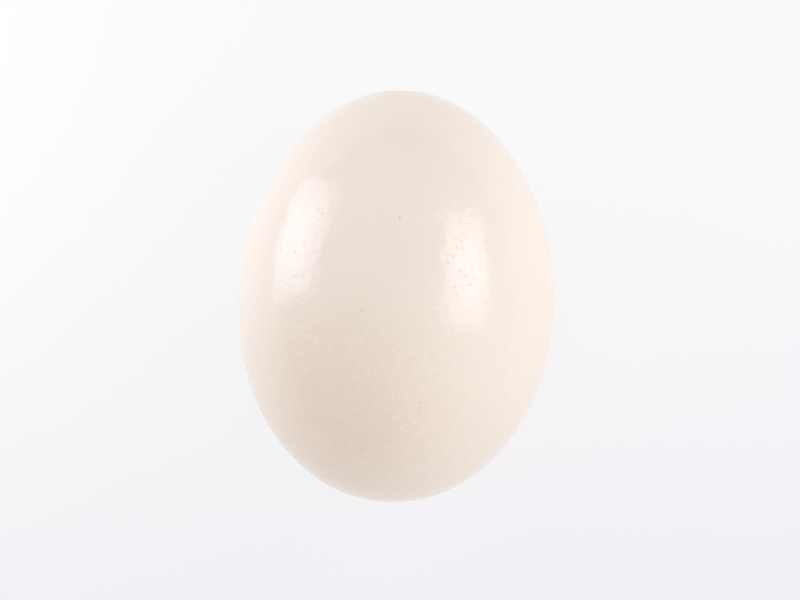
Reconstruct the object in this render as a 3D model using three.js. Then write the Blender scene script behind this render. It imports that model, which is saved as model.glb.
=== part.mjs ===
// An ostrich egg lying on its side, at its real size, in millimetres with +Z up.
//
// The long axis runs along Y, the slimmer end towards +Y and the fuller end towards -Y. The egg rests
// on a small flat spot on its widest ring. The origin is on the floor, z = 0, below the middle of the
// long axis.
//
// Every vertex starts as a direction, a point on the unit sphere, which eggPoint() carries onto the
// egg. The convex hull of the directions joins them into one closed mesh of even triangles, so the
// rest spot and the pores need only rings of directions of their own.

import * as THREE from "three";
import { ConvexHull } from "three/addons/math/ConvexHull.js";

// Driving dimensions
const LENGTH = 156; // from end to end
const WIDTH = 120; // across the widest ring
const TAPER = 0.033; // share of the width that the slim end loses and the full end gains
const REST_CUT = 0.4; // how deep the flat spot is let into the widest ring
const PORE_COUNT = 300; // the larger pits of the shell, spread over all of it
const PORE_RADIUS = 0.75;
const PORE_DEPTH = 0.5;

// How finely the surface is faceted
const LATTICE_POINTS = 2700;
const REST_SIDES = 24;
const PORE_SIDES = 6;

// Clear distances, so that no facet is a sliver
const REST_MARGIN = 0.45; // height above the floor below which the rest spot's own ring takes over
const PORE_CLEARANCE = 2.4; // from a pore's centre to the nearest lattice point
const PORE_MIN_HEIGHT = 3; // of the lowest pore above the floor

// How far a pore may leave its place in an even spiral, both along the egg and round it
const PORE_SCATTER = 5;

// A wave this fast, counted in steps that share no factor, gives numbers that follow no pattern
const SCATTER_STEP = 12.9898;
const SCATTER_CHANNEL_STEP = 78.233;
const SCATTER_SCALE = 43758.5453;

const NEAR_AN_END = 0.9; // share of the half length past which surface tangents are taken from UP instead
const RIM_TOLERANCE = 1e-6; // how closely the rest spot's rim is found

const HALF_LENGTH = LENGTH / 2;
const HALF_WIDTH = WIDTH / 2;
const AXIS_HEIGHT = HALF_WIDTH - REST_CUT;
const LONG_AXIS = new THREE.Vector3(0, 1, 0);
const UP = new THREE.Vector3(0, 0, 1);
const GOLDEN_ANGLE = Math.PI * (3 - Math.sqrt(5));

// The radius of the egg's stretch across its axis, at a share of the half length from the middle.
function stretchAt(share) {
  return HALF_WIDTH * (1 - TAPER * share);
}

// The point of the egg that a direction stands for.
function eggPoint(direction) {
  const across = stretchAt(direction.y);
  return new THREE.Vector3(
    across * direction.x,
    HALF_LENGTH * direction.y,
    across * direction.z + AXIS_HEIGHT,
  );
}

// The direction that stands for the point of the egg nearest a place close to its surface.
function directionOf(place) {
  const share = place.y / HALF_LENGTH;
  const across = stretchAt(share);
  return new THREE.Vector3(place.x / across, share, (place.z - AXIS_HEIGHT) / across).normalize();
}

// The egg's outward normal at a direction, from the gradient of its implicit equation.
function outwardAt(direction) {
  const across = stretchAt(direction.y);
  const ringSquared = direction.x ** 2 + direction.z ** 2;
  const alongSlope = direction.y + (ringSquared * TAPER * HALF_WIDTH) / across;
  return new THREE.Vector3(
    direction.x / across,
    alongSlope / HALF_LENGTH,
    direction.z / across,
  ).normalize();
}

// Two unit vectors along the egg's surface at a direction, which make a right-handed set with its normal.
function tangentsAt(direction) {
  const outward = outwardAt(direction);
  const reference = Math.abs(direction.y) < NEAR_AN_END ? LONG_AXIS : UP;
  const round = new THREE.Vector3().crossVectors(reference, outward).normalize();
  const along = new THREE.Vector3().crossVectors(outward, round);
  return [round, along];
}

// Directions in an even spiral over the whole sphere, from one end of the egg's long axis to the other.
function spiral(count) {
  return Array.from({ length: count }, (_, i) => {
    const y = 1 - (2 * i) / (count - 1);
    const ring = Math.sqrt(1 - y * y);
    const turn = i * GOLDEN_ANGLE;
    return new THREE.Vector3(ring * Math.cos(turn), y, ring * Math.sin(turn));
  });
}

// A repeatable number between -1 and 1 for a whole number and a channel.
function scatter(index, channel) {
  const wave = Math.sin(index * SCATTER_STEP + channel * SCATTER_CHANNEL_STEP) * SCATTER_SCALE;
  return 2 * (wave - Math.floor(wave)) - 1;
}

// The ring of directions at a distance from a centre along the surface, which may differ from side to side.
function ringAround(centre, sides, distanceTowards) {
  const [round, along] = tangentsAt(centre);
  const middle = eggPoint(centre);
  return Array.from({ length: sides }, (_, i) => {
    const angle = (2 * Math.PI * i) / sides;
    const towards = round
      .clone()
      .multiplyScalar(Math.cos(angle))
      .addScaledVector(along, Math.sin(angle));
    return directionOf(middle.clone().addScaledVector(towards, distanceTowards(towards)));
  });
}

// The flat spot: its middle and its rim, which is found by walking out until the egg rises past the floor.
function restVertices() {
  const lowest = new THREE.Vector3(0, -TAPER, -Math.sqrt(1 - TAPER ** 2));
  const middle = eggPoint(lowest);
  const rimDistance = (towards) => {
    let [inside, outside] = [0, HALF_WIDTH / 2];
    while (outside - inside > RIM_TOLERANCE) {
      const halfway = (inside + outside) / 2;
      const place = middle.clone().addScaledVector(towards, halfway);
      if (eggPoint(directionOf(place)).z < 0) inside = halfway;
      else outside = halfway;
    }
    return inside;
  };
  const rim = ringAround(lowest, REST_SIDES, rimDistance);
  return [lowest, ...rim].map((direction) => {
    const place = eggPoint(direction).setZ(0);
    return { direction, place };
  });
}

// Where the pores open: a spiral over the shell, each place moved a little, and none near the floor.
function poreCentres() {
  return spiral(PORE_COUNT)
    .map((direction, i) => {
      const [round, along] = tangentsAt(direction);
      const place = eggPoint(direction)
        .addScaledVector(round, PORE_SCATTER * scatter(i, 1))
        .addScaledVector(along, PORE_SCATTER * scatter(i, 2));
      return directionOf(place);
    })
    .filter((direction) => eggPoint(direction).z > PORE_MIN_HEIGHT);
}

// One pore: a rim on the surface round a centre that is sunk into the shell.
function poreVertices(centre) {
  const rim = ringAround(centre, PORE_SIDES, () => PORE_RADIUS);
  const bottom = eggPoint(centre).addScaledVector(outwardAt(centre), -PORE_DEPTH);
  return [
    { direction: centre, place: bottom },
    ...rim.map((direction) => ({ direction, place: eggPoint(direction) })),
  ];
}

// The plain surface between the pores and clear of the rest spot.
function latticeVertices(pores) {
  const openings = pores.map(eggPoint);
  const isClear = (place) =>
    place.z > REST_MARGIN &&
    openings.every((opening) => opening.distanceTo(place) > PORE_CLEARANCE);
  return spiral(LATTICE_POINTS)
    .map((direction) => ({ direction, place: eggPoint(direction) }))
    .filter(({ place }) => isClear(place));
}

// Joins vertices as the convex hull of their directions is joined, with each at its own place.
function joined(vertices) {
  const numbers = new Map(vertices.map(({ direction }, i) => [direction, i]));
  const hull = new ConvexHull().setFromPoints(vertices.map(({ direction }) => direction));
  const index = hull.faces.flatMap(({ edge }) =>
    [edge, edge.next, edge.next.next].map((side) => numbers.get(side.head().point)),
  );
  const geometry = new THREE.BufferGeometry().setFromPoints(vertices.map(({ place }) => place));
  geometry.setIndex(index);
  geometry.computeVertexNormals();
  return geometry;
}

function shellMaterial() {
  return new THREE.MeshStandardMaterial({ color: 0xead9c6, roughness: 0.25, metalness: 0 });
}

function egg() {
  const pores = poreCentres();
  const vertices = [...restVertices(), ...pores.flatMap(poreVertices), ...latticeVertices(pores)];
  const mesh = new THREE.Mesh(joined(vertices), shellMaterial());
  mesh.name = "egg";
  return mesh;
}

const ostrichEgg = new THREE.Group();
ostrichEgg.add(egg());

export default ostrichEgg;
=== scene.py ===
"""Builds a glossy, finely pitted ostrich egg around its CAD solid, and a pale studio stage for it."""

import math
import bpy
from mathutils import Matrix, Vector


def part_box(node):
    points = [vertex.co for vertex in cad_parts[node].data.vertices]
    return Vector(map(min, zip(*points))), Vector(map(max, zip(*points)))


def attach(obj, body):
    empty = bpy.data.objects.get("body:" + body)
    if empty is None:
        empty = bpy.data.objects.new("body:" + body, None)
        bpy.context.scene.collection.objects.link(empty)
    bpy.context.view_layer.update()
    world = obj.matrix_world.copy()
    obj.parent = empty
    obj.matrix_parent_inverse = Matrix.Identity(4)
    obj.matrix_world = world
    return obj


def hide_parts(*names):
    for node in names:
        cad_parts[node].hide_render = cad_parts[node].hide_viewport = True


bl_info = {
    "name": "Ostrich Egg",
    "version": (1, 0, 0),
    "blender": (4, 5, 0),
    "location": "3D Viewport > Sidebar > Egg",
    "description": "Builds an ostrich egg with a glossy pitted shell, and a pale studio stage for it",
    "category": "Add Mesh",
}

from typing import NamedTuple

import bpy
import numpy as np
from bpy.props import FloatProperty, FloatVectorProperty, IntProperty, PointerProperty
from mathutils import Matrix, Quaternion, Vector
from mathutils.geometry import delaunay_2d_cdt
from mathutils.kdtree import KDTree

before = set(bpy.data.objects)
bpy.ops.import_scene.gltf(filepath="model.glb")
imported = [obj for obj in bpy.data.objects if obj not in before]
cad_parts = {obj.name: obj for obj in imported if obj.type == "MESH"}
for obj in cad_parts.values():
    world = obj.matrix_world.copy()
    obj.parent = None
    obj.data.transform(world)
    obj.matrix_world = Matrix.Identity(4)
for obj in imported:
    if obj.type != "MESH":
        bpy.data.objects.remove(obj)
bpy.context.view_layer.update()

MM = 0.001
SEED = 41

# The egg's form, read from its solid. The long axis lies along Y, slimmer end towards +Y.
LOWEST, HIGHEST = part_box("egg")
HALF_LENGTH = (HIGHEST.y - LOWEST.y) / 2
HALF_WIDTH = (HIGHEST.x - LOWEST.x) / 2
AXIS_HEIGHT = HIGHEST.z - HALF_WIDTH
TAPER = 0.033  # share of the width that the slim end loses and the full end gains

# Places of the larger pores, by the same rule as the solid's
LARGE_PORE_SLOTS = 300
LARGE_PORE_SCATTER = 5 * MM
SCATTER_STEP = 12.9898
SCATTER_CHANNEL_STEP = 78.233
SCATTER_SCALE = 43758.5453

# Sizes of the larger and the dirty pores, as shares of the largest small pore's radius
LARGE_PORE_SIZE = 1.15  # at most; the least is 1
STAINED_PORE_SIZE = 0.8

PORE_MIN_HEIGHT = 3 * MM  # of the lowest pore above the floor
PIT_RANGE = (0.25, 0.95)  # how pitted the finish is in the faintest and the clearest pore
TRIES_PER_PORE = 6  # random places drawn for each small pore, so that enough lie clear of the others


class StainedPore(NamedTuple):
    """A pore that holds dark dirt: its place on the upper side, seen from above, and how much dirt."""

    across: float
    along: float
    dirt: float


STAINED_PORES = (
    StainedPore(0.1 * MM, 27.4 * MM, 0.55),
    StainedPore(-18.6 * MM, 49.0 * MM, 0.3),
    StainedPore(-11.8 * MM, -5.7 * MM, 0.35),
    StainedPore(-23.9 * MM, -3.4 * MM, 0.2),
    StainedPore(27.4 * MM, -58.2 * MM, 0.3),
    StainedPore(9.9 * MM, -37.2 * MM, 0.3),
)

# How the shell is meshed
LATTICE_POINTS = 24000
PORE_RING_SIDES = 8
PORE_RINGS = ((0.7, 0.0), (1.0, 0.5))  # each ring's share of the radius, and its turn in sides
PORE_CLEARANCE = 0.7 * MM  # from a pore's rim to the nearest lattice point
REST_RIM_SIDES = 48
REST_MARGIN = 0.1 * MM  # height above the floor below which the rest spot's rim takes over
RIM_SEARCH_STEPS = 40
RELIEF_FADE_HEIGHT = 4 * MM  # height over which the relief comes in above the rest spot
MERGE_DISTANCE = 1e-9  # below which two corners of the flat picture of the shell would be one
NEAR_AN_END = 0.9  # share of the half length past which tangents are taken from the upward axis
GOLDEN_ANGLE = math.pi * (3 - math.sqrt(5))
ALONG_AXIS = (0.0, 1.0, 0.0)
UPWARD = (0.0, 0.0, 1.0)
DOWNWARD = (0.0, 0.0, -1.0)


class Grain(NamedTuple):
    """A noise: the width of its patches, its octaves of detail, and the values between which it rises."""

    width: float
    detail: int
    low: float
    high: float


# The shell's finish
PATCHES = Grain(38 * MM, 2, 0.35, 0.65)
SPECKS = Grain(2.2 * MM, 2, 0.52, 0.72)
SMEARS = Grain(9 * MM, 3, 0.3, 0.7)
BUMP_WIDTH = 1.2 * MM
BUMP_DETAIL = 2
SHELL_IOR = 1.6
FULL_GLOSS = 0.5  # the specular level at which the gloss follows the IOR
EVEN_FACING = 0.5  # the blend at which Layer Weight leaves its facing unweighted
SCATTER_SHARE = 0.08  # of the light that enters the shell and leaves it elsewhere
SCATTER_COLOURS = (1.0, 0.6, 0.4)  # how far red, green and blue light travels, as shares of the depth
SCATTER_DEPTH = 2.5 * MM

# The stage's finish
FLOOR_ROUGHNESS = 0.9
TOWARDS_BACK = (-0.2, 1, 0)  # the way along the floor in which its glow brightens from a dimmer, bluer front: a painted falloff of light
BELL_GAIN = 16  # the product of both bells of a softbox peaks at a sixteenth


class Softbox(NamedTuple):
    """A rectangular lamp that faces the egg's middle. Angles are in degrees and lengths in metres."""

    name: str
    bearing: float  # clockwise from +Y, seen from above
    elevation: float
    roll: float
    distance: float
    size: tuple
    brightness: float


SOFTBOXES = (
    Softbox(
        name="left_softbox",
        bearing=-68.4,
        elevation=15.5,
        roll=10.2,
        distance=0.29,
        size=(0.237, 0.203),
        brightness=1.08,
    ),
    Softbox(
        name="right_softbox",
        bearing=70.7,
        elevation=39.5,
        roll=-18.6,
        distance=0.5,
        size=(0.444, 0.322),
        brightness=0.95,
    ),
)


# Directions and places on the egg ----------------------------------------------------------------


def unit(vectors):
    """The rows of an array, each scaled to length 1."""
    return vectors / np.linalg.norm(vectors, axis=1, keepdims=True)


def stretch_at(share):
    """The egg's stretch across its axis, at a share of the half length from the middle."""
    return HALF_WIDTH * (1 - TAPER * share)


def egg_points(directions):
    """The points of the egg that directions, points on the unit sphere, stand for."""
    x, y, z = directions.T
    across = stretch_at(y)
    return np.column_stack((across * x, HALF_LENGTH * y, across * z + AXIS_HEIGHT))


def directions_of(places):
    """The directions that stand for the points of the egg nearest places close to its surface."""
    x, y, z = places.T
    share = y / HALF_LENGTH
    across = stretch_at(share)
    return unit(np.column_stack((x / across, share, (z - AXIS_HEIGHT) / across)))


def outward_at(directions):
    """The egg's outward normals at directions, from the gradient of its implicit equation."""
    x, y, z = directions.T
    across = stretch_at(y)
    along_slope = y + (x**2 + z**2) * TAPER * HALF_WIDTH / across
    return unit(np.column_stack((x / across, along_slope / HALF_LENGTH, z / across)))


def tangents_at(directions):
    """Two unit vectors along the surface at each direction."""
    outward = outward_at(directions)
    is_clear_of_ends = np.abs(directions[:, 1:2]) < NEAR_AN_END
    around = unit(np.cross(np.where(is_clear_of_ends, ALONG_AXIS, UPWARD), outward))
    return around, np.cross(outward, around)


def spiral(count):
    """Directions in an even spiral from one end of the egg's long axis to the other."""
    i = np.arange(count)
    y = 1 - 2 * i / (count - 1)
    ring = np.sqrt(1 - y * y)
    turn = i * GOLDEN_ANGLE
    return np.column_stack((ring * np.cos(turn), y, ring * np.sin(turn)))


def scatter(index, channel):
    """Repeatable numbers between -1 and 1 for whole numbers and a channel."""
    wave = np.sin(index * SCATTER_STEP + channel * SCATTER_CHANNEL_STEP) * SCATTER_SCALE
    return 2 * (wave - np.floor(wave)) - 1


def tree_of(places):
    """A search tree that finds the numbers of places by their nearness."""
    tree = KDTree(len(places))
    for number, place in enumerate(places):
        tree.insert(place, number)
    tree.balance()
    return tree


# The shell's relief ------------------------------------------------------------------------------


class Waves:
    """A smooth random relief of one grain size: a sum of plane waves that run in all directions."""

    COUNT = 40
    LENGTHS = (0.8, 1.3)  # of the shortest and the longest wave, as shares of the grain

    def __init__(self, rng, grain, height):
        lengths = grain * rng.uniform(*self.LENGTHS, self.COUNT)
        self.vectors = unit(rng.normal(size=(self.COUNT, 3))) * (2 * math.pi / lengths)[:, None]
        self.phases = rng.uniform(0, 2 * math.pi, self.COUNT)
        self.height = height / math.sqrt(self.COUNT)

    def at(self, places):
        """The relief's height and gradient at places."""
        angles = places @ self.vectors.T + self.phases
        height = self.height * np.sin(angles).sum(axis=1)
        return height, self.height * np.cos(angles) @ self.vectors


class Shell:
    """Collects the shell's vertices: directions, places and normals, and how pitted and stained they are."""

    def __init__(self, reliefs):
        self.reliefs = reliefs
        self.directions = []
        self.places = []
        self.normals = []
        self.pits = []
        self.stains = []

    def relief_at(self, places):
        """Height and gradient of the relief, which fades out towards the rest spot."""
        fade = np.clip((places[:, 2] - REST_MARGIN) / RELIEF_FADE_HEIGHT, 0, 1)
        height = np.zeros(len(places))
        gradient = np.zeros_like(places)
        for relief in self.reliefs:
            more_height, more_gradient = relief.at(places)
            height += fade * more_height
            gradient += fade[:, None] * more_gradient
        return height, gradient

    def add(self, directions, sink=0.0, slope=None, pit=0.0, stain=0.0):
        """Adds vertices at directions, sunk into the shell. A slope points the way its surface rises."""
        outward = outward_at(directions)
        base = egg_points(directions)
        height, gradient = self.relief_at(base)
        if slope is not None:
            gradient = gradient + slope
        along_surface = gradient - np.sum(gradient * outward, axis=1, keepdims=True) * outward
        self.directions.append(directions)
        self.places.append(base + outward * (height - sink)[:, None])
        self.normals.append(unit(outward - along_surface))
        self.pits.append(np.broadcast_to(pit, len(directions)))
        self.stains.append(np.broadcast_to(stain, len(directions)))


# Pores -------------------------------------------------------------------------------------------


class Pores(NamedTuple):
    """Pores of the shell. Each field has one row or number for each pore."""

    centres: np.ndarray  # as directions
    radii: np.ndarray
    depths: np.ndarray
    pits: np.ndarray
    stains: np.ndarray


def large_pore_directions():
    """Where the larger pores open, at the same places as on the solid."""
    directions = spiral(LARGE_PORE_SLOTS)
    index = np.arange(LARGE_PORE_SLOTS)
    around, along = tangents_at(directions)
    shift = around * scatter(index, 1)[:, None] + along * scatter(index, 2)[:, None]
    moved = directions_of(egg_points(directions) + LARGE_PORE_SCATTER * shift)
    return moved[egg_points(moved)[:, 2] > PORE_MIN_HEIGHT]


def stained_pore_directions():
    """Where the dirty pores open, on the upper side."""
    directions = []
    for pore in STAINED_PORES:
        y = pore.along / HALF_LENGTH
        x = pore.across / stretch_at(y)
        directions.append((x, y, math.sqrt(1 - x * x - y * y)))
    return np.array(directions)


def spaced_directions(rng, taken, count, spacing):
    """Random directions whose points keep a spacing from each other and from those already taken."""
    candidates = np.vstack((taken, unit(rng.normal(size=(count * TRIES_PER_PORE, 3)))))
    places = egg_points(candidates)
    tree = tree_of(places)
    blocked = np.zeros(len(places), bool)
    chosen = []
    for number, place in enumerate(places):
        is_new = number >= len(taken)
        if is_new and blocked[number]:
            continue
        for _, neighbour, _ in tree.find_range(place, spacing):
            blocked[neighbour] = True
        if is_new and place[2] > PORE_MIN_HEIGHT:
            chosen.append(number)
        if len(chosen) == count:
            break
    return candidates[chosen]


def shell_pores(rng, settings):
    """All pores: the larger ones, then the dirty ones, then the small ones."""
    large = large_pore_directions()
    stained = stained_pore_directions()
    taken = np.vstack((large, stained))
    small = spaced_directions(rng, taken, settings.pore_count, settings.pore_spacing)
    smallest, largest = settings.pore_radius
    large_radii = rng.uniform(largest, largest * LARGE_PORE_SIZE, len(large))
    stained_radii = np.full(len(stained), largest * STAINED_PORE_SIZE)
    small_radii = rng.uniform(smallest, largest, len(small))
    radii = np.concatenate((large_radii, stained_radii, small_radii))
    depths = radii * rng.uniform(*settings.pore_steepness, len(radii))
    pits = rng.uniform(*PIT_RANGE, len(radii))
    stains = settings.pore_dirt * rng.random(len(radii)) ** 2
    stains[len(large) : len(taken)] = [pore.dirt for pore in STAINED_PORES]
    return Pores(np.vstack((taken, small)), radii, depths, pits, stains)


def pore_sink(share):
    """How deep a pore is at a share of its radius, as a share of its depth: level at middle and rim."""
    return (1 - share**2) ** 2


def pore_slope(share):
    """How steeply a pore's floor rises outwards at a share of its radius, for a depth and radius of 1."""
    return 4 * share * (1 - share**2)


def add_pores(shell, pores):
    """Adds each pore's middle and its rings, the last of which is its rim."""
    shell.add(pores.centres, sink=pores.depths, pit=pores.pits, stain=pores.stains)
    middles = egg_points(pores.centres)
    around, along = tangents_at(pores.centres)
    for share, turn in PORE_RINGS:
        slope = pores.depths / pores.radii * pore_slope(share)
        for side in range(PORE_RING_SIDES):
            angle = 2 * math.pi * (side + turn) / PORE_RING_SIDES
            towards = around * math.cos(angle) + along * math.sin(angle)
            shell.add(
                directions_of(middles + towards * (pores.radii * share)[:, None]),
                sink=pores.depths * pore_sink(share),
                slope=towards * slope[:, None],
                pit=pores.pits * (share < 1),
                stain=pores.stains * pore_sink(share),
            )


# The shell's mesh --------------------------------------------------------------------------------


def rest_rim():
    """The lowest direction, and those round the edge of the flat spot, found by halving the way out."""
    lowest = np.array([(0.0, -TAPER, -math.sqrt(1 - TAPER**2))])
    around, along = tangents_at(lowest)
    angles = 2 * math.pi * np.arange(REST_RIM_SIDES) / REST_RIM_SIDES
    towards = np.cos(angles)[:, None] * around + np.sin(angles)[:, None] * along
    middle = egg_points(lowest)
    inside = np.zeros(REST_RIM_SIDES)
    outside = np.full(REST_RIM_SIDES, HALF_WIDTH / 2)
    for _ in range(RIM_SEARCH_STEPS):
        halfway = (inside + outside) / 2
        is_below = egg_points(directions_of(middle + towards * halfway[:, None]))[:, 2] < 0
        inside = np.where(is_below, halfway, inside)
        outside = np.where(is_below, outside, halfway)
    return lowest, directions_of(middle + towards * inside[:, None])


def lattice_directions(pores):
    """The plain surface between the pores and clear of the rest spot."""
    tree = tree_of(egg_points(pores.centres))
    directions = spiral(LATTICE_POINTS)
    kept = []
    for number, place in enumerate(egg_points(directions)):
        _, nearest, gap = tree.find(place)
        if place[2] > REST_MARGIN and gap > pores.radii[nearest] + PORE_CLEARANCE:
            kept.append(number)
    return directions[kept]


def joined(directions, lowest):
    """Joins directions into the triangles of their convex hull, left open round the lowest one.

    Seen from the lowest direction, the sphere lies flat without a circle losing its roundness, so the
    flat picture's Delaunay triangles are the hull's.
    """
    (pole,) = lowest
    around, _ = tangents_at(lowest)
    (right,) = unit(around - (around @ pole)[:, None] * pole)
    forward = np.cross(right, pole)
    away = 1 - directions @ pole
    flat = np.column_stack((directions @ right / away, directions @ forward / away))
    points = [Vector(point) for point in flat]
    corners, _, faces, origins, _, _ = delaunay_2d_cdt(points, [], [], 0, MERGE_DISTANCE)
    if len(corners) != len(directions):
        raise RuntimeError(f"{len(directions) - len(corners)} of the shell's vertices fell together")
    numbers = [origin[0] for origin in origins]
    return [[numbers[corner] for corner in face] for face in faces]


def closed_mesh(shell, lowest):
    """The mesh of a shell's vertices, closed with a fan round the middle of its rest spot."""
    directions = np.vstack(shell.directions)
    hub = len(directions)
    fan = [[i, (i + 1) % REST_RIM_SIDES, hub] for i in range(REST_RIM_SIDES)]
    spot_middle = egg_points(lowest) * (1, 1, 0)

    mesh = bpy.data.meshes.new("egg_surface")
    places = np.vstack((*shell.places, spot_middle))
    mesh.from_pydata(places.tolist(), [], joined(directions, lowest) + fan)
    mesh.shade_smooth()
    normals = np.vstack((*shell.normals, DOWNWARD))
    mesh.normals_split_custom_set_from_vertices(normals.tolist())
    for name, values in (("pit", shell.pits), ("stain", shell.stains)):
        attribute = mesh.attributes.new(name, "FLOAT", "POINT")
        attribute.data.foreach_set("value", np.append(np.concatenate(values), 0.0))
    return mesh


def shell_mesh(settings):
    """The shell as one closed mesh of even triangles, with its rest spot, relief and pores."""
    rng = np.random.default_rng(SEED)
    swell = Waves(rng, settings.swell_grain, settings.swell_height)
    peel = Waves(rng, settings.peel_grain, settings.peel_height)
    shell = Shell([swell, peel])

    # The rim comes first, because the fan counts on its vertices, and it lies exactly on the floor
    lowest, rim = rest_rim()
    shell.add(rim)
    shell.places[0][:, 2] = 0.0

    pores = shell_pores(rng, settings)
    add_pores(shell, pores)
    shell.add(lattice_directions(pores))
    return closed_mesh(shell, lowest)


# Node helpers ------------------------------------------------------------------------------------


def feed(tree, socket, value):
    """Gives an input a value, or a link where the value is another node's output."""
    if isinstance(value, bpy.types.NodeSocket):
        tree.links.new(value, socket)
    else:
        socket.default_value = value


def feed_all(tree, node, inputs):
    """Gives each named input of a node its value or link."""
    for name, value in inputs.items():
        feed(tree, node.inputs[name], value)


def add_node(tree, kind, inputs=None, **settings):
    """Adds a node with its settings, and gives each named input its value or link."""
    node = tree.nodes.new(kind)
    for name, value in settings.items():
        setattr(node, name, value)
    feed_all(tree, node, inputs or {})
    return node


def mixed(tree, factor, first, second, blend="MIX"):
    """The colour between two colours, by a factor."""
    node = add_node(tree, "ShaderNodeMix", data_type="RGBA", blend_type=blend)
    sockets = {socket.identifier: socket for socket in node.inputs}
    feed(tree, sockets["Factor_Float"], factor)
    feed(tree, sockets["A_Color"], first)
    feed(tree, sockets["B_Color"], second)
    return next(socket for socket in node.outputs if socket.identifier == "Result_Color")


def calculated(tree, operation, *numbers):
    """The result of a sum on numbers or outputs."""
    return add_node(tree, "ShaderNodeMath", dict(enumerate(numbers)), operation=operation).outputs[0]


def vector_sum(tree, operation, *vectors):
    """The outputs of a sum on vectors: Vector, and Value where the result is a number."""
    inputs = dict(enumerate(vectors))
    return add_node(tree, "ShaderNodeVectorMath", inputs, operation=operation).outputs


def ranged(tree, value, low, high, to_low=0.0, to_high=1.0, shape="SMOOTHSTEP"):
    """A value carried from one range to another, and held there."""
    inputs = {"Value": value, "From Min": low, "From Max": high, "To Min": to_low, "To Max": to_high}
    return add_node(tree, "ShaderNodeMapRange", inputs, interpolation_type=shape).outputs[0]


def noise(tree, place, width, detail):
    """Noise between 0 and 1 whose patches have a width."""
    inputs = {"Vector": place, "Scale": 1 / width, "Detail": detail}
    return add_node(tree, "ShaderNodeTexNoise", inputs).outputs["Fac"]


def grained(tree, place, grain, to_low=0.0, to_high=1.0):
    """A grain's noise, carried from the values between which it rises to another range."""
    plain = noise(tree, place, grain.width, grain.detail)
    return ranged(tree, plain, grain.low, grain.high, to_low, to_high)


def opaque(colour):
    """A colour with full alpha."""
    return (*colour, 1.0)


# Materials ---------------------------------------------------------------------------------------


def shell_colour(tree, place, to_painted_shade, coarseness, settings):
    """Ivory, with faint warm patches and light specks, and one broad patch of painted warm shade."""
    patches = grained(tree, place, PATCHES, 0.0, settings.patch_strength)
    # A broad warmer, darker patch on the upper side towards the full end and the left: painted shade with
    # warm bounce light, not a colour of the shell
    painted_shade = ranged(tree, to_painted_shade, *settings.painted_shade_reach, settings.painted_shade_strength, 0.0)
    warmth_and_painted_shade = calculated(tree, "ADD", patches, painted_shade)
    ivory = mixed(tree, warmth_and_painted_shade, opaque(settings.pale_colour), opaque(settings.warm_colour))
    speck_strength = ranged(tree, coarseness, 0, 1, *settings.speck_strength)
    specks = calculated(tree, "MULTIPLY", grained(tree, place, SPECKS), speck_strength)
    lightness = calculated(tree, "ADD", specks, 1.0)
    channels = {"Red": lightness, "Green": lightness, "Blue": lightness}
    grey = add_node(tree, "ShaderNodeCombineColor", channels).outputs[0]
    return mixed(tree, 1.0, ivory, grey, "MULTIPLY")


def shell_gloss(tree, pit, settings):
    """The specular level: full on the plain shell, less in a pore, and less so where it faces away."""
    facing_away = add_node(tree, "ShaderNodeLayerWeight", {"Blend": EVEN_FACING}).outputs["Facing"]
    open_to_view = ranged(tree, facing_away, *settings.pit_fade, 1.0, settings.pit_fade_end)
    open_pit = calculated(tree, "MULTIPLY", pit, open_to_view)
    return calculated(tree, "MULTIPLY_ADD", open_pit, -FULL_GLOSS * settings.pit_dullness, FULL_GLOSS)


def shell_bumps(tree, place, coarseness, settings):
    """The normal of a grain of tiny bumps, higher on the coarse part."""
    grain_height = ranged(tree, coarseness, 0, 1, *settings.grain_height)
    height = calculated(tree, "MULTIPLY", noise(tree, place, BUMP_WIDTH, BUMP_DETAIL), grain_height)
    inputs = {"Height": height, "Strength": 1.0, "Distance": 1.0}
    return add_node(tree, "ShaderNodeBump", inputs).outputs["Normal"]


def eggshell_material(settings):
    """Ivory shell with dirt and painted shade in its pores, a broad painted warm shade, and a hard gloss
    over a grain of tiny bumps.
    """
    material = bpy.data.materials.new("eggshell_ivory")
    material.use_nodes = True
    tree = material.node_tree
    place = add_node(tree, "ShaderNodeTexCoord").outputs["Object"]
    pit = add_node(tree, "ShaderNodeAttribute", attribute_name="pit").outputs["Fac"]
    stain = add_node(tree, "ShaderNodeAttribute", attribute_name="stain").outputs["Fac"]
    # Distance from the middle of the painted warm shade; the coarser grain is centred on the same spot
    to_painted_shade = vector_sum(tree, "DISTANCE", place, settings.painted_shade_middle)["Value"]
    coarseness = ranged(tree, to_painted_shade, *settings.coarse_reach, 1.0, 0.0)
    clean_colour = shell_colour(tree, place, to_painted_shade, coarseness, settings)
    # The mix towards the dark colour is partly real dirt (the stains) and partly painted shade in every pit
    # (pit_shade)
    dirt = calculated(tree, "MULTIPLY_ADD", pit, settings.pit_shade, stain)
    finish = {
        "Base Color": mixed(tree, dirt, clean_colour, opaque(settings.dirt_and_pit_shade_colour)),
        "Roughness": grained(tree, place, SMEARS, *settings.roughness),
        "Specular IOR Level": shell_gloss(tree, pit, settings),
        "Normal": shell_bumps(tree, place, coarseness, settings),
        "IOR": SHELL_IOR,
        "Subsurface Weight": SCATTER_SHARE,
        "Subsurface Radius": SCATTER_COLOURS,
        "Subsurface Scale": SCATTER_DEPTH,
    }
    feed_all(tree, tree.nodes["Principled BSDF"], finish)
    return material


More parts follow.
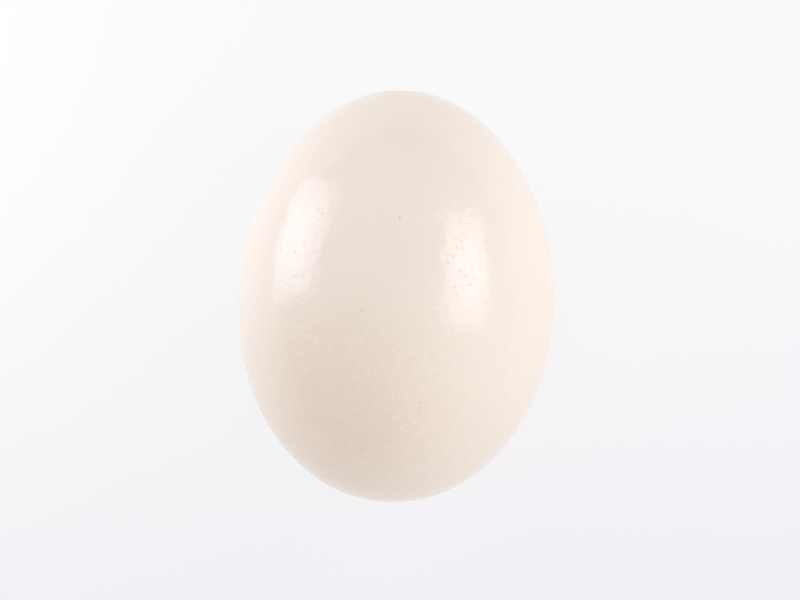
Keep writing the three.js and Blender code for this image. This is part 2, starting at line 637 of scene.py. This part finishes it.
def floor_material(settings):
    """A pale lit table: matt, with a glow of its own that keeps shadows soft; the glow fades under the egg
    as a painted contact shadow, and is dimmer and bluer towards the front as a painted falloff of light.
    """
    material = bpy.data.materials.new("pale_floor")
    material.use_nodes = True
    tree = material.node_tree
    place = add_node(tree, "ShaderNodeTexCoord").outputs["Object"]
    # A painted falloff of light: the glow is dimmer and bluer towards the front and right, and brighter at
    # the back and left
    towards_back = vector_sum(tree, "DOT_PRODUCT", place, TOWARDS_BACK)["Value"]
    falloff_to_back = ranged(tree, towards_back, *settings.painted_falloff_span)
    front_colour = opaque(settings.front_glow_colour)
    back_colour = opaque(settings.back_glow_colour)
    # A painted contact shadow: the glow fades towards the middle of the egg's footprint
    footprint = (1 / HALF_WIDTH, 1 / HALF_LENGTH, 0)
    spread = vector_sum(tree, "MULTIPLY", place, footprint)["Vector"]
    from_contact = vector_sum(tree, "LENGTH", spread)["Value"]
    painted_shadow_least_glow = settings.floor_glow * settings.painted_shadow_glow
    finish = {
        "Base Color": opaque(settings.floor_colour),
        "Roughness": FLOOR_ROUGHNESS,
        "Specular IOR Level": 0.0,
        "Emission Color": mixed(tree, falloff_to_back, front_colour, back_colour),
        "Emission Strength": ranged(tree, from_contact, 0, 1, painted_shadow_least_glow, settings.floor_glow),
    }
    feed_all(tree, tree.nodes["Principled BSDF"], finish)
    return material


# Stage -------------------------------------------------------------------------------------------


def add_floor(settings):
    """A square floor just below the egg's rest spot."""
    half = settings.floor_size / 2
    level = settings.floor_level
    corners = [(-half, -half, level), (half, -half, level), (half, half, level), (-half, half, level)]
    mesh = bpy.data.meshes.new("floor")
    mesh.from_pydata(corners, [], [(0, 1, 2, 3)])
    mesh.materials.append(floor_material(settings))
    floor = bpy.data.objects.new("floor", mesh)
    bpy.context.collection.objects.link(floor)


def direction_towards(bearing, elevation):
    """The direction at a bearing, clockwise from +Y seen from above, and an elevation."""
    level = math.cos(elevation)
    return Vector((math.sin(bearing) * level, math.cos(bearing) * level, math.sin(elevation)))


def softbox_glow(tree, settings):
    """A softbox's strength over its face: even along its edge, and greatest in its middle."""
    across = add_node(tree, "ShaderNodeNewGeometry").outputs["Parametric"]
    rest = vector_sum(tree, "SUBTRACT", (1, 1, 1), across)["Vector"]
    bells = vector_sum(tree, "MULTIPLY", across, rest)["Vector"]
    bell = add_node(tree, "ShaderNodeSeparateXYZ", {"Vector": bells}).outputs
    middle = calculated(tree, "MULTIPLY", bell["X"], bell["Y"])
    gain = BELL_GAIN * settings.softbox_middle
    return calculated(tree, "MULTIPLY_ADD", middle, gain, settings.softbox_edge)


def add_softbox(softbox, settings):
    """A softbox that lights the egg and shows in its gloss, but not to the camera."""
    lamp = bpy.data.lights.new(softbox.name, "AREA")
    lamp.shape = "RECTANGLE"
    lamp.size, lamp.size_y = softbox.size
    lamp.energy = softbox.brightness * math.pi * lamp.size * lamp.size_y
    lamp.color = settings.softbox_colour
    lamp.use_nodes = True
    tree = lamp.node_tree
    feed(tree, tree.nodes["Emission"].inputs["Strength"], softbox_glow(tree, settings))

    body = bpy.data.objects.new(softbox.name, lamp)
    away = direction_towards(math.radians(softbox.bearing), math.radians(softbox.elevation))
    roll = Quaternion(away, math.radians(softbox.roll))
    body.location = Vector((0, 0, AXIS_HEIGHT)) + away * softbox.distance
    body.rotation_mode = "QUATERNION"
    body.rotation_quaternion = roll @ away.to_track_quat("Z", "Y")
    body.visible_camera = False
    bpy.context.collection.objects.link(body)


def add_dome(settings):
    """The light from all round: nearly even, a little brighter overhead and towards the fill."""
    world = bpy.data.worlds.new("studio_dome")
    world.use_nodes = True
    bpy.context.scene.world = world
    tree = world.node_tree
    direction = add_node(tree, "ShaderNodeTexCoord").outputs["Generated"]
    height = add_node(tree, "ShaderNodeSeparateXYZ", {"Vector": direction}).outputs["Z"]
    overhead = ranged(tree, height, 0, 1, settings.horizon_light, settings.zenith_light, "LINEAR")
    towards_fill = direction_towards(settings.fill_bearing, settings.fill_elevation)
    facing = vector_sum(tree, "DOT_PRODUCT", direction, towards_fill)["Value"]
    facing = calculated(tree, "MAXIMUM", facing, 0.0)
    squared = calculated(tree, "MULTIPLY", facing, facing)
    fill = calculated(tree, "MULTIPLY", squared, settings.fill_light)
    light = {"Color": opaque((1, 1, 1)), "Strength": calculated(tree, "ADD", overhead, fill)}
    feed_all(tree, tree.nodes["Background"], light)


def add_camera(settings):
    """A camera that looks straight down, turned so that the egg leans in its view."""
    lens = bpy.data.cameras.new("camera")
    lens.lens = settings.lens
    camera = bpy.data.objects.new("camera", lens)
    height = AXIS_HEIGHT + settings.field_width * lens.lens / lens.sensor_width
    turn = Matrix.Rotation(settings.egg_lean, 4, "Z")
    camera.matrix_world = turn @ Matrix.Translation((*settings.camera_offset, height))
    bpy.context.collection.objects.link(camera)
    bpy.context.scene.camera = camera


# Settings ----------------------------------------------------------------------------------------


def length_setting(name, description, default):
    """A size, which can't be negative."""
    return FloatProperty(
        name=name, description=description, default=default, min=0.0, unit="LENGTH", precision=5
    )


def share_setting(name, description, default):
    """A share between nothing and all."""
    return FloatProperty(
        name=name, description=description, default=default, min=0.0, max=1.0, subtype="FACTOR"
    )


def colour_setting(name, description, default):
    """A colour."""
    return FloatVectorProperty(
        name=name, description=description, default=default, min=0.0, max=1.0, size=3, subtype="COLOR"
    )


def strength_setting(name, description, default):
    """A strength of light, which can't be negative."""
    return FloatProperty(name=name, description=description, default=default, min=0.0)


def angle_setting(name, description, degrees):
    """An angle, given in degrees."""
    default = math.radians(degrees)
    return FloatProperty(name=name, description=description, default=default, subtype="ANGLE")


def pair_setting(name, description, default, **options):
    """Two numbers that belong together."""
    return FloatVectorProperty(name=name, description=description, default=default, size=2, **options)


def length_pair_setting(name, description, default):
    """Two lengths that belong together."""
    return pair_setting(name, description, default, unit="LENGTH", precision=5)


class EggshellSettings(bpy.types.PropertyGroup):
    """Sizes and colours of the shell."""

    pale_colour: colour_setting("Pale Patches", "Shell colour of the palest patches", (0.927, 0.815, 0.701))
    warm_colour: colour_setting("Warm Patches And Shade", "Colour of the warmest patches, and of the painted warm shade", (0.925, 0.771, 0.638))
    dirt_and_pit_shade_colour: colour_setting("Dirt", "Colour of the dirt in stained pores and of the painted shade in pits", (0.16, 0.10, 0.06))
    patch_strength: share_setting("Patchiness", "How much the warm patches show", 0.15)
    # The next three settings place and size a broad painted warm shade that darkens and warms the shell's
    # colour
    painted_shade_strength: share_setting("Painted Shade", "How much the one broad painted warm shade shows", 0.85)
    painted_shade_middle: FloatVectorProperty(
        name="Painted Shade Middle",
        description="Where the broad painted warm shade is strongest",
        default=(-18 * MM, -42 * MM, 110 * MM),
        size=3,
        subtype="TRANSLATION",
    )
    painted_shade_reach: length_pair_setting(
        "Painted Shade Reach", "How far out the painted shade starts to fade and ends", (12 * MM, 55 * MM)
    )
    coarse_reach: length_pair_setting(
        "Coarse Reach",
        "How far from the painted shade's middle the grain starts and ends getting finer",
        (25 * MM, 65 * MM),
    )
    speck_strength: pair_setting(
        "Specks", "How light the specks are, on the fine and the coarse part", (0.006, 0.04)
    )
    roughness: pair_setting(
        "Roughness", "Least and greatest roughness of the gloss", (0.09, 0.13), min=0.0, max=1.0
    )
    # Painted shade: darkens the colour at the bottom of each pore
    pit_shade: share_setting("Pit Shade", "How much painted shade darkens a fully pitted pore", 0.022)
    pit_dullness: share_setting("Pit Dullness", "How much of its gloss the bottom of a pore loses", 1.0)
    pit_fade: pair_setting(
        "Pit Fade", "How far a pore faces away where its dullness starts to fade and stops", (0.35, 0.65)
    )
    pit_fade_end: share_setting("Pit Fade End", "How much of the dullness is left at the rim", 0.4)
    grain_height: length_pair_setting(
        "Grain", "Height of the grain, on the fine and the coarse part", (0.035 * MM, 0.15 * MM)
    )
    pore_dirt: share_setting("Pore Dirt", "Most dirt in an ordinary pore, besides its shade", 0.05)
    pore_count: IntProperty(
        name="Small Pores", description="Pores besides the larger and the dirty ones", default=3900, min=0
    )
    pore_spacing: length_setting("Pore Spacing", "Least distance between two pores", 2.0 * MM)
    pore_radius: length_pair_setting(
        "Pore Radius", "Radius of the smallest and the largest small pore", (0.42 * MM, 0.72 * MM)
    )
    pore_steepness: pair_setting(
        "Pore Steepness", "Least and greatest depth of a pore for its radius", (0.05, 0.15)
    )
    swell_grain: length_setting("Swell Width", "Width of the broad unevenness of the shell", 26 * MM)
    swell_height: length_setting("Swell Height", "Height of the broad unevenness", 0.05 * MM)
    peel_grain: length_setting("Peel Width", "Width of the fine unevenness, like orange peel", 4 * MM)
    peel_height: length_setting("Peel Height", "Height of the fine unevenness", 0.026 * MM)


class StageSettings(bpy.types.PropertyGroup):
    """Sizes, colours and strengths of the floor, the lights and the camera."""

    floor_size: length_setting("Floor", "Length of each side of the floor", 10.0)
    floor_level: FloatProperty(
        name="Floor Level", description="Height of the floor", default=-0.05 * MM, unit="LENGTH", precision=5
    )
    floor_colour: colour_setting("Floor Colour", "Colour of the floor", (0.18, 0.18, 0.18))
    # The two glow colours and their span paint a falloff of light across the floor
    back_glow_colour: colour_setting(
        "Back Glow Colour", "Colour of the floor's glow at the back", (0.99, 0.985, 0.985)
    )
    front_glow_colour: colour_setting(
        "Front Glow Colour", "Colour of the floor's glow at the front", (0.91, 0.89, 0.945)
    )
    painted_falloff_span: length_pair_setting(
        "Painted Falloff Span", "Where the front glow ends and the back glow starts", (-190 * MM, 60 * MM)
    )
    floor_glow: strength_setting("Floor Glow", "Strength of the floor's own glow", 0.784)
    # How deep the painted contact shadow under the egg is
    painted_shadow_glow: share_setting(
        "Painted Shadow Glow", "Share of the floor's glow left in the middle of the painted shadow below the egg", 0.6
    )
    horizon_light: strength_setting("Horizon Light", "Strength of the dome at the horizon", 0.54)
    zenith_light: strength_setting("Zenith Light", "Strength of the dome overhead", 0.71)
    fill_light: strength_setting(
        "Fill Light", "How much brighter the dome is in the middle of its fill", 0.33
    )
    fill_bearing: angle_setting(
        "Fill Bearing", "Direction of the fill, clockwise from +Y seen from above", 126
    )
    fill_elevation: angle_setting("Fill Elevation", "Height of the fill above the horizon", 21)
    softbox_colour: colour_setting("Softbox Colour", "Colour of both softboxes", (0.8, 0.845, 1.0))
    softbox_edge: strength_setting("Softbox Edge", "Strength of a softbox at its edges", 0.75)
    softbox_middle: strength_setting(
        "Softbox Middle", "How much brighter a softbox is in its middle", 2.4
    )
    lens: FloatProperty(name="Lens", description="Focal length in millimetres", default=85.0, min=1.0)
    field_width: length_setting(
        "Field Width", "Width of the camera's view at the egg's axis", 303.7 * MM
    )
    egg_lean: angle_setting("Lean", "How far the egg leans in the camera's view", 2.38)
    camera_offset: length_pair_setting(
        "Camera Offset", "How far the camera stands from the egg's middle", (1.37 * MM, -1.48 * MM)
    )


# Operators ---------------------------------------------------------------------------------------


class OSTRICH_EGG_OT_build_shell(bpy.types.Operator):
    """Build the egg's pitted shell in place of its plain solid"""

    bl_idname = "ostrich_egg.build_shell"
    bl_label = "Build Shell"

    def execute(self, context):
        settings = context.scene.eggshell_settings
        mesh = shell_mesh(settings)
        mesh.materials.append(eggshell_material(settings))
        shell = bpy.data.objects.new("egg_surface", mesh)
        context.collection.objects.link(shell)
        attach(shell, "root")
        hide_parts("egg")
        return {"FINISHED"}


class OSTRICH_EGG_OT_build_stage(bpy.types.Operator):
    """Build the pale floor, the studio lights and the camera"""

    bl_idname = "ostrich_egg.build_stage"
    bl_label = "Build Stage"

    def execute(self, context):
        settings = context.scene.egg_stage_settings
        add_floor(settings)
        add_dome(settings)
        for softbox in SOFTBOXES:
            add_softbox(softbox, settings)
        add_camera(settings)
        context.scene.view_settings.view_transform = "Standard"
        return {"FINISHED"}


class VIEW3D_PT_ostrich_egg(bpy.types.Panel):
    """Lists the settings and the steps that build the egg"""

    bl_label = "Ostrich Egg"
    bl_space_type = "VIEW_3D"
    bl_region_type = "UI"
    bl_category = "Egg"

    def draw(self, context):
        steps = (
            (context.scene.eggshell_settings, OSTRICH_EGG_OT_build_shell),
            (context.scene.egg_stage_settings, OSTRICH_EGG_OT_build_stage),
        )
        for settings, operator in steps:
            box = self.layout.box()
            for name in settings.__annotations__:
                box.prop(settings, name)
            box.operator(operator.bl_idname)


CLASSES = (
    EggshellSettings,
    StageSettings,
    OSTRICH_EGG_OT_build_shell,
    OSTRICH_EGG_OT_build_stage,
    VIEW3D_PT_ostrich_egg,
)


def register():
    for cls in CLASSES:
        bpy.utils.register_class(cls)
    bpy.types.Scene.eggshell_settings = PointerProperty(type=EggshellSettings)
    bpy.types.Scene.egg_stage_settings = PointerProperty(type=StageSettings)


def unregister():
    del bpy.types.Scene.egg_stage_settings
    del bpy.types.Scene.eggshell_settings
    for cls in reversed(CLASSES):
        bpy.utils.unregister_class(cls)


def main():
    register()
    bpy.ops.ostrich_egg.build_stage()
    bpy.ops.ostrich_egg.build_shell()


if __name__ == "__main__":
    main()
